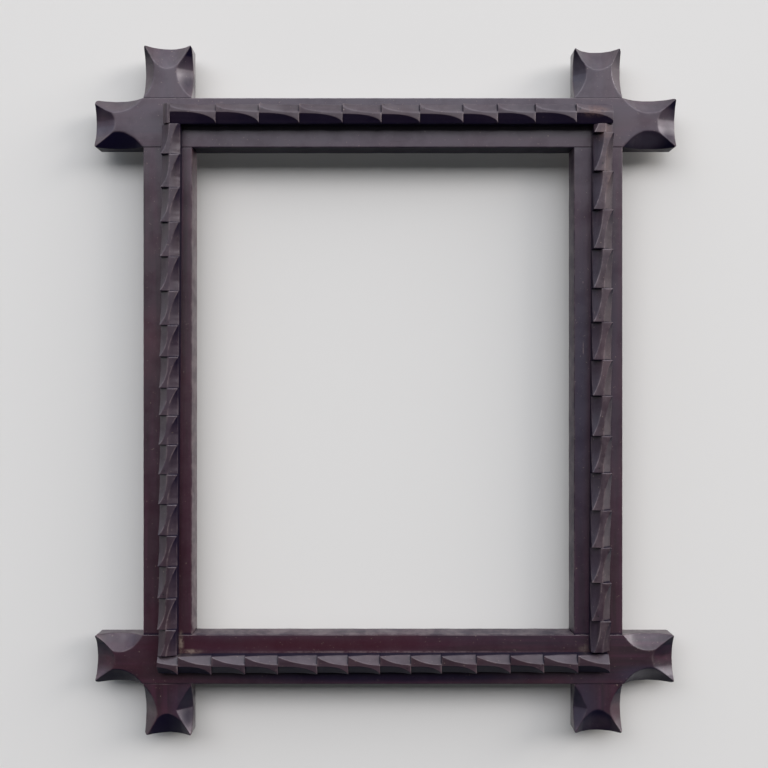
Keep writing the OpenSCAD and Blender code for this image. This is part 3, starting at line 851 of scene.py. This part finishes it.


# The section of a strip at each of its rows, as points across it, with the wear and the painted shade of each
# point.
# The four upper corners become short curves, no longer than about half of the edges beside them.
def stripSection(corners, side, look=stripLook):
    arrises = (look["arris"], look["lowerRidgeArris"][side], look["upperRidgeArris"][side], look["arris"])
    arrisWear, crestWear = look["arrisWear"], look["crestWear"][side]
    cornerWear = (0, arrisWear, crestWear, crestWear, arrisWear, 0)
    # painted shade: full on both side walls and their feet, some on the arrises, and on the lower facets by
    # each strip's share
    cornerShading = (1, look["arrisSoil"], 0, 0, look["arrisSoil"], 1)
    faceWear = (0, 0, look["ridgeWear"][side], look["ridgeWear"][side] / 2, 0)
    faceShading = (1, look["lowerSoil"][side], 0, 0, 1)
    curves = [[corners[0]]]
    for before, corner, after, arris in zip(corners, corners[1:5], corners[2:], arrises):
        toBefore, toAfter = before - corner, after - corner
        lb = np.linalg.norm(toBefore, axis=1, keepdims=True) + 1e-9
        la = np.linalg.norm(toAfter, axis=1, keepdims=True) + 1e-9
        a = corner + toBefore / lb * np.minimum(arris, look["mostOfEdge"] * lb)
        c = corner + toAfter / la * np.minimum(arris, look["mostOfEdge"] * la)
        curves.append(roundedCorner(a, corner, c, look["curvePoints"]))
    curves.append([corners[5]])
    section, wear, soil = [], [], []
    for i, curve in enumerate(curves):
        section += curve
        soil += [cornerShading[i]] * len(curve)
        last = len(curve) - 1
        wear += [cornerWear[i] * (1 if 0 < k < last else look["curveEndWear"]) for k in range(last + 1)]
        if i < 5:
            start, stop = curve[-1], curves[i + 1][0]
            for q in np.linspace(0, 1, look["flatSteps"] + 1)[1:-1]:
                section.append(start + (stop - start) * q)
                wear.append(faceWear[i])
                soil.append(faceShading[i])
    rows = len(corners[0])
    wear = np.repeat(np.array(wear, float)[None], rows, 0)
    soil = np.repeat(np.array(soil, float)[None], rows, 0) * look["soil"]
    return np.stack(section, 1), wear, soil


# A strip as sections along x. In each tooth the upper cut's inset grows and the lower cut's shrinks on the
# curves above; both rule straight down to the side wall. The proud half's edge beside a stop cut is rounded:
# its section draws in close to the cut. Each tooth has its own random cuts, bend, rounding and worn tips.
# Painted shade darkens its side walls, the notches behind its stop cuts and some of its facets.
def makeStrip(side, length, width, high, place, seed, material, look=stripLook):
    lengths, starts = toothPlaces(side, length)
    x, tooth, t = toothRows(side, length)
    plain = t < 0
    t = np.clip(t, 0, 1)
    fromStart = np.where(plain, 1, t * lengths[tooth])
    fromStop = np.where(plain, starts[0] - x, (1 - t) * lengths[tooth])
    hand = np.random.default_rng(seed)
    upperFull = 1 + hand.uniform(-look["cutVary"]["upper"], 0, len(lengths))[tooth]
    lowerFull = 1 + hand.uniform(-look["cutVary"]["lower"], 0, len(lengths))[tooth]
    bend = hand.uniform(1 - look["bendVary"], 1 + look["bendVary"], len(lengths))[tooth]
    stopRound = hand.uniform(*look["stopRound"], len(lengths))[tooth]
    tipWear = hand.uniform(*look["tipWear"], (2, len(lengths)))[:, tooth, None]
    a, b, c, d, e = stripCurves[side]
    upper = d * np.maximum(1 - (1 - t) ** (c * bend), 0) ** e * upperFull
    lower = np.maximum(1 - t ** (a * bend), 0) ** b * lowerFull
    off = np.interp(x / length, np.linspace(0, 1, len(stripRidges[side])), stripRidges[side])
    least = look["leastCut"] * (1 + 0.5 * ripple(x, look["leastCutWave"], seed))
    upper = np.maximum(np.where(plain, 0, upper * (1 - off)), least)
    lower = np.maximum(np.where(plain, 0, lower * (1 + off)), least)
    chatter = look["chatter"] * ripple(x, look["chatterWave"], seed + 3)
    half, over = width / 2, (width - look["ridge"]) / 2
    downUpper, downLower = (down * mm for down in stripDowns[side])
    zero = np.zeros_like(x)
    corners = [
        (zero - half, zero), (zero - half, high - downLower * np.minimum(lower, 1) + chatter * lower),
        (-half + over * lower, zero + high), (half - over * upper, zero + high),
        (zero + half, high - downUpper * np.minimum(upper, 1) - chatter * upper), (zero + half, zero),
    ]
    section, wear, soil = stripSection([np.stack(corner, -1) for corner in corners], side)
    u, v = section[:, :, 0], section[:, :, 1]
    along = np.repeat(x[:, None], v.shape[1], 1)

    # painted shade in the notches behind the stop cuts, and where the left strip's upper facets begin
    upperSide = np.clip(u / half + 0.5, 0, 1)
    onUpper = upperSide > 0.5
    intoNotch = np.where(onUpper, fromStop[:, None], fromStart[:, None]) / look["notch"]
    cutHere = np.where(onUpper, upper[:, None], lower[:, None]) * (v < high - look["notchBelow"])
    soil = np.maximum(soil, np.exp(-(intoNotch**2)) * np.clip(cutHere, 0, 1))
    fade = look["upperSoil"][side] * np.exp(-((t / look["upperSoilShare"]) ** 2))[:, None]
    onFacet = (u - half + over * upper[:, None]) / look["upperSoilEdge"] + look["upperSoilOver"]
    soil = np.maximum(soil, fade * np.clip(onFacet, 0, 1))

    # wear on the edges that draw in, and more on the stop cuts' tips
    drawIn = (quarterRound(fromStart, stopRound)[:, None] * upperSide
              + quarterRound(fromStop, stopRound)[:, None] * (1 - upperSide))
    ends = quarterRound(np.minimum(x, length - x), look["endRound"])[:, None]
    drawIn = np.maximum(drawIn, ends)
    wear = np.maximum(wear, np.clip(drawIn / look["drawnWear"], 0, 1) * (v > high * look["drawnAbove"]))
    startTip, stopTip = (share * np.exp(-((near[:, None] / look["tipLength"]) ** 2))
                         for share, near in zip(tipWear, (fromStart, fromStop)))
    wear = np.maximum(wear, np.where(onUpper, startTip, stopTip) * (v > high * look["tipAbove"]))

    v = v - drawIn * np.clip(v / high, 0, 1) ** 3
    u = u * (1 - np.where(v > look["drawnFoot"], drawIn, ends) / half * np.clip(np.abs(u) / half, 0, 1))
    v = np.minimum(v, high - np.clip(look["endBevel"][side] - along, 0, None))
    rows, cols = v.shape
    centres = [(0, 0, look["endCentre"] * high), (length, 0, look["endCentre"] * high)]
    points, faces = cappedTube(np.stack([along, u, v], -1).reshape(-1, 3), rows, cols, centres)
    wears = np.concatenate([wear.ravel(), [0, 0]])
    paintedShadings = np.concatenate([soil.ravel(), [0, 0]])
    piece = makePiece(side + "CarvedStrip", place(points), faces, material,
                      {"wear": wears, "dust": 0 * wears, "grime": paintedShadings})
    settleDustAndShade(piece, look["dust"])
    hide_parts(side + "_strip")
    print("strip", side, rows * cols, "points")


# Where a strip lies: how its points are placed, its length and its width. The box of a turned strip is its
# length and its width, each seen at the tilt: along it, length * cos + width * sin, and across it,
# width * cos + length * sin.
def stripPlan(side):
    low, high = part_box(side + "_strip")
    level, lean = side in ("top", "bottom"), stripLeans[side]
    along, across = high.x - low.x, high.z - low.z
    if not level:
        along, across = across, along
    tilt = math.asin(lean / along)
    cos, sin = math.cos(tilt), math.sin(tilt)
    width = (across - lean) / cos
    length = (along - width * sin) / cos

    def place(p):
        x, y, z = p.T
        if level:
            startX, startZ = low.x + width / 2 * sin, low.z + width / 2 * cos
            return np.stack([startX + x * cos - y * sin, -boardT - z, startZ + x * sin + y * cos], -1)
        startX, startZ = high.x - width / 2 * cos, high.z - width / 2 * sin
        return np.stack([startX - x * sin + y * cos, -boardT - z, startZ - x * cos - y * sin], -1)

    return place, length, width


def makeStrips():
    high = -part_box("top_strip")[0].y - boardT
    for seed, side in enumerate(stripTeeth, 31):
        place, length, width = stripPlan(side)
        lengths, starts = toothPlaces(side, length)
        local = np.array([[starts[i] + f * lengths[i], off * mm, high] for i, f, off in stripPins[side]])
        pins = [(p[0] / mm, p[2] / mm) for p in place(local)]
        wood = stainedWood(side + " strip wood", side in ("top", "bottom"),
                           ("dust",) if side == "bottom" else ("bare",), pins=pins, look=stripWood)
        makeStrip(side, length, width, high, place, seed, wood)


# hardware

eyeLook = {
    "sides": 16,
    "turn": 340,
    "shankRows": 8,
    "ringRows": 72,
    "neck": 0.2 * mm,
    "tip": (0.97, 0.85, 0.55),
}


# A screw eye: a tube along a path that comes out of the wood and bends into a ring, short of closing. The
# tube shrinks at its last points to a cut tip.
def makeEye(node, material, look=eyeLook):
    low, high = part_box(node)
    wire = high.x - low.x
    ringR = (high.z - low.z - wire) / 2
    centre = np.array([(low.x + high.x) / 2, high.y - wire / 2 - ringR, (low.z + high.z) / 2])
    shank = np.linspace(low.y, centre[1] - ringR - look["neck"], look["shankRows"])
    turn = np.radians(np.linspace(0, look["turn"], look["ringRows"]))
    y = np.concatenate([shank, centre[1] - ringR * np.cos(turn)])
    z = np.concatenate([np.full(len(shank), centre[2]), centre[2] + ringR * np.sin(turn)])
    path = np.stack([np.full(len(y), centre[0]), y, z], -1)
    way = np.gradient(path, axis=0)
    way /= np.linalg.norm(way, axis=1, keepdims=True)
    sideways = np.array([1.0, 0, 0])
    over = np.cross(way, sideways)
    over /= np.linalg.norm(over, axis=1, keepdims=True)
    around = np.linspace(0, 2 * np.pi, look["sides"], endpoint=False)[None, :, None]
    radius = np.full(len(path), wire / 2)
    radius[-len(look["tip"]):] *= look["tip"]
    spokes = np.cos(around) * sideways + np.sin(around) * over[:, None]
    rings = (path[:, None] + radius[:, None, None] * spokes).reshape(-1, 3)
    points, faces = cappedTube(rings, len(path), look["sides"], (path[0], path[-1]))
    piece = makePiece(node.replace("_", "") + "Ring", points, faces, material, {})
    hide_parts(node)
    print("screw eye", node)


def finishHardware():
    eyeSteel = dulledSteel("dulled eye steel", (0.42, 0.40, 0.37), 0.5)
    nailSteel = dulledSteel("rusted nail steel", (0.16, 0.14, 0.13), 0.9)
    for node in ("left_screw_eye", "right_screw_eye"):
        makeEye(node, eyeSteel)
    for node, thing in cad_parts.items():
        if "pins" in node or "nails" in node:
            for slot in thing.material_slots:
                slot.material = nailSteel


# camera, wall, floor and light, all placed by the photograph

viewLook = {
    "pixel": 0.94 * mm,
    "image": 768,
    "sensor": 36,
    "distance": 1100 * mm,
    "offX": 1.0 * mm,
    "offZ": 6.6 * mm,
    "wallGap": 13.2 * mm,
    "wallSize": 96,
    "floorDrop": 48,
    "wall": (0.70, 0.705, 0.64),
    "floor": (0.62, 0.64, 0.80),
    "world": (0.90, 0.95, 1.0),
    "worldStrength": 0.06,
}

# lamps: place, what it looks at, width, height, brightness of its surface, colour
# the first five are panels of an overcast sky, brightest on the right; the last lights the frame's back
lamps = {
    "skyLow": ((0, -16, 7.0), (0, 16, 7.0), 32, 4.4, 3.6, (0.92, 0.90, 1.0)),
    "skyHigh": ((0, -16, 12.5), (0, 16, 12.5), 32, 6.5, 3.8, (0.92, 0.90, 1.0)),
    "skyTop": ((0, -8, 15.75), (0, -8, 0), 32, 16, 1.75, (0.90, 0.90, 1.0)),
    "skyLeft": ((-16, -8, 10.3), (16, -8, 10.3), 16, 10.9, 1.4, (0.66, 0.76, 1.0)),
    "skyRight": ((16, -8, 7.6), (-16, -8, 7.6), 16, 7.4, 8.6, (1.0, 0.94, 0.98)),
    "fromBehind": ((0.3, 3.4, 1.0), (0, 0, -0.25), 1.4, 1.4, 5, (1, 1, 1)),
}


def makePlane(name, corners, material):
    mesh = bpy.data.meshes.new(name)
    mesh.from_pydata(corners, [], [tuple(range(len(corners)))])
    mesh.materials.append(material)
    plane = bpy.data.objects.new(name, mesh)
    bpy.context.collection.objects.link(plane)
    return plane


def makeStudio(look=viewLook):
    scene = bpy.context.scene
    w, y, drop = look["wallSize"] / 2, look["wallGap"], look["floorDrop"]
    wall = makePlane("wall", [(-w, y, -drop), (w, y, -drop), (w, y, w), (-w, y, w)],
                     plainStage("pale wall", look["wall"], True))
    wall.visible_shadow = False
    makePlane("floor", [(-w, -w, -drop), (w, -w, -drop), (w, w, -drop), (-w, w, -drop)],
              plainStage("pale floor", look["floor"]))
    world = bpy.data.worlds.new("soft room")
    scene.world = world
    world.use_nodes = True
    world.node_tree.nodes["Background"].inputs[0].default_value = (*look["world"], 1)
    world.node_tree.nodes["Background"].inputs[1].default_value = look["worldStrength"]
    for name, (place, aim, width, height, bright, colour) in lamps.items():
        data = bpy.data.lights.new(name, "AREA")
        data.shape, data.size, data.size_y = "RECTANGLE", width, height
        data.energy = bright * math.pi * width * height  # the watts that give a panel this brightness
        data.color = colour
        lamp = bpy.data.objects.new(name, data)
        lamp.location = place
        lamp.visible_camera = False
        lamp.rotation_euler = (Vector(aim) - Vector(place)).to_track_quat("-Z", "Y").to_euler()
        bpy.context.collection.objects.link(lamp)
    data = bpy.data.cameras.new("photo camera")
    data.sensor_width = look["sensor"]
    data.lens = look["sensor"] * look["distance"] / (look["pixel"] * look["image"])
    camera = bpy.data.objects.new("photo camera", data)
    camera.location = (look["offX"], -boardT - look["distance"], middleZ + look["offZ"])
    camera.rotation_euler = (math.pi / 2, 0, 0)
    bpy.context.collection.objects.link(camera)
    scene.camera = camera
    scene.view_settings.view_transform = "Standard"
    print("studio ready")


makeStudio()
makeBoards()
makeSlips()
makeStrips()
finishHardware()
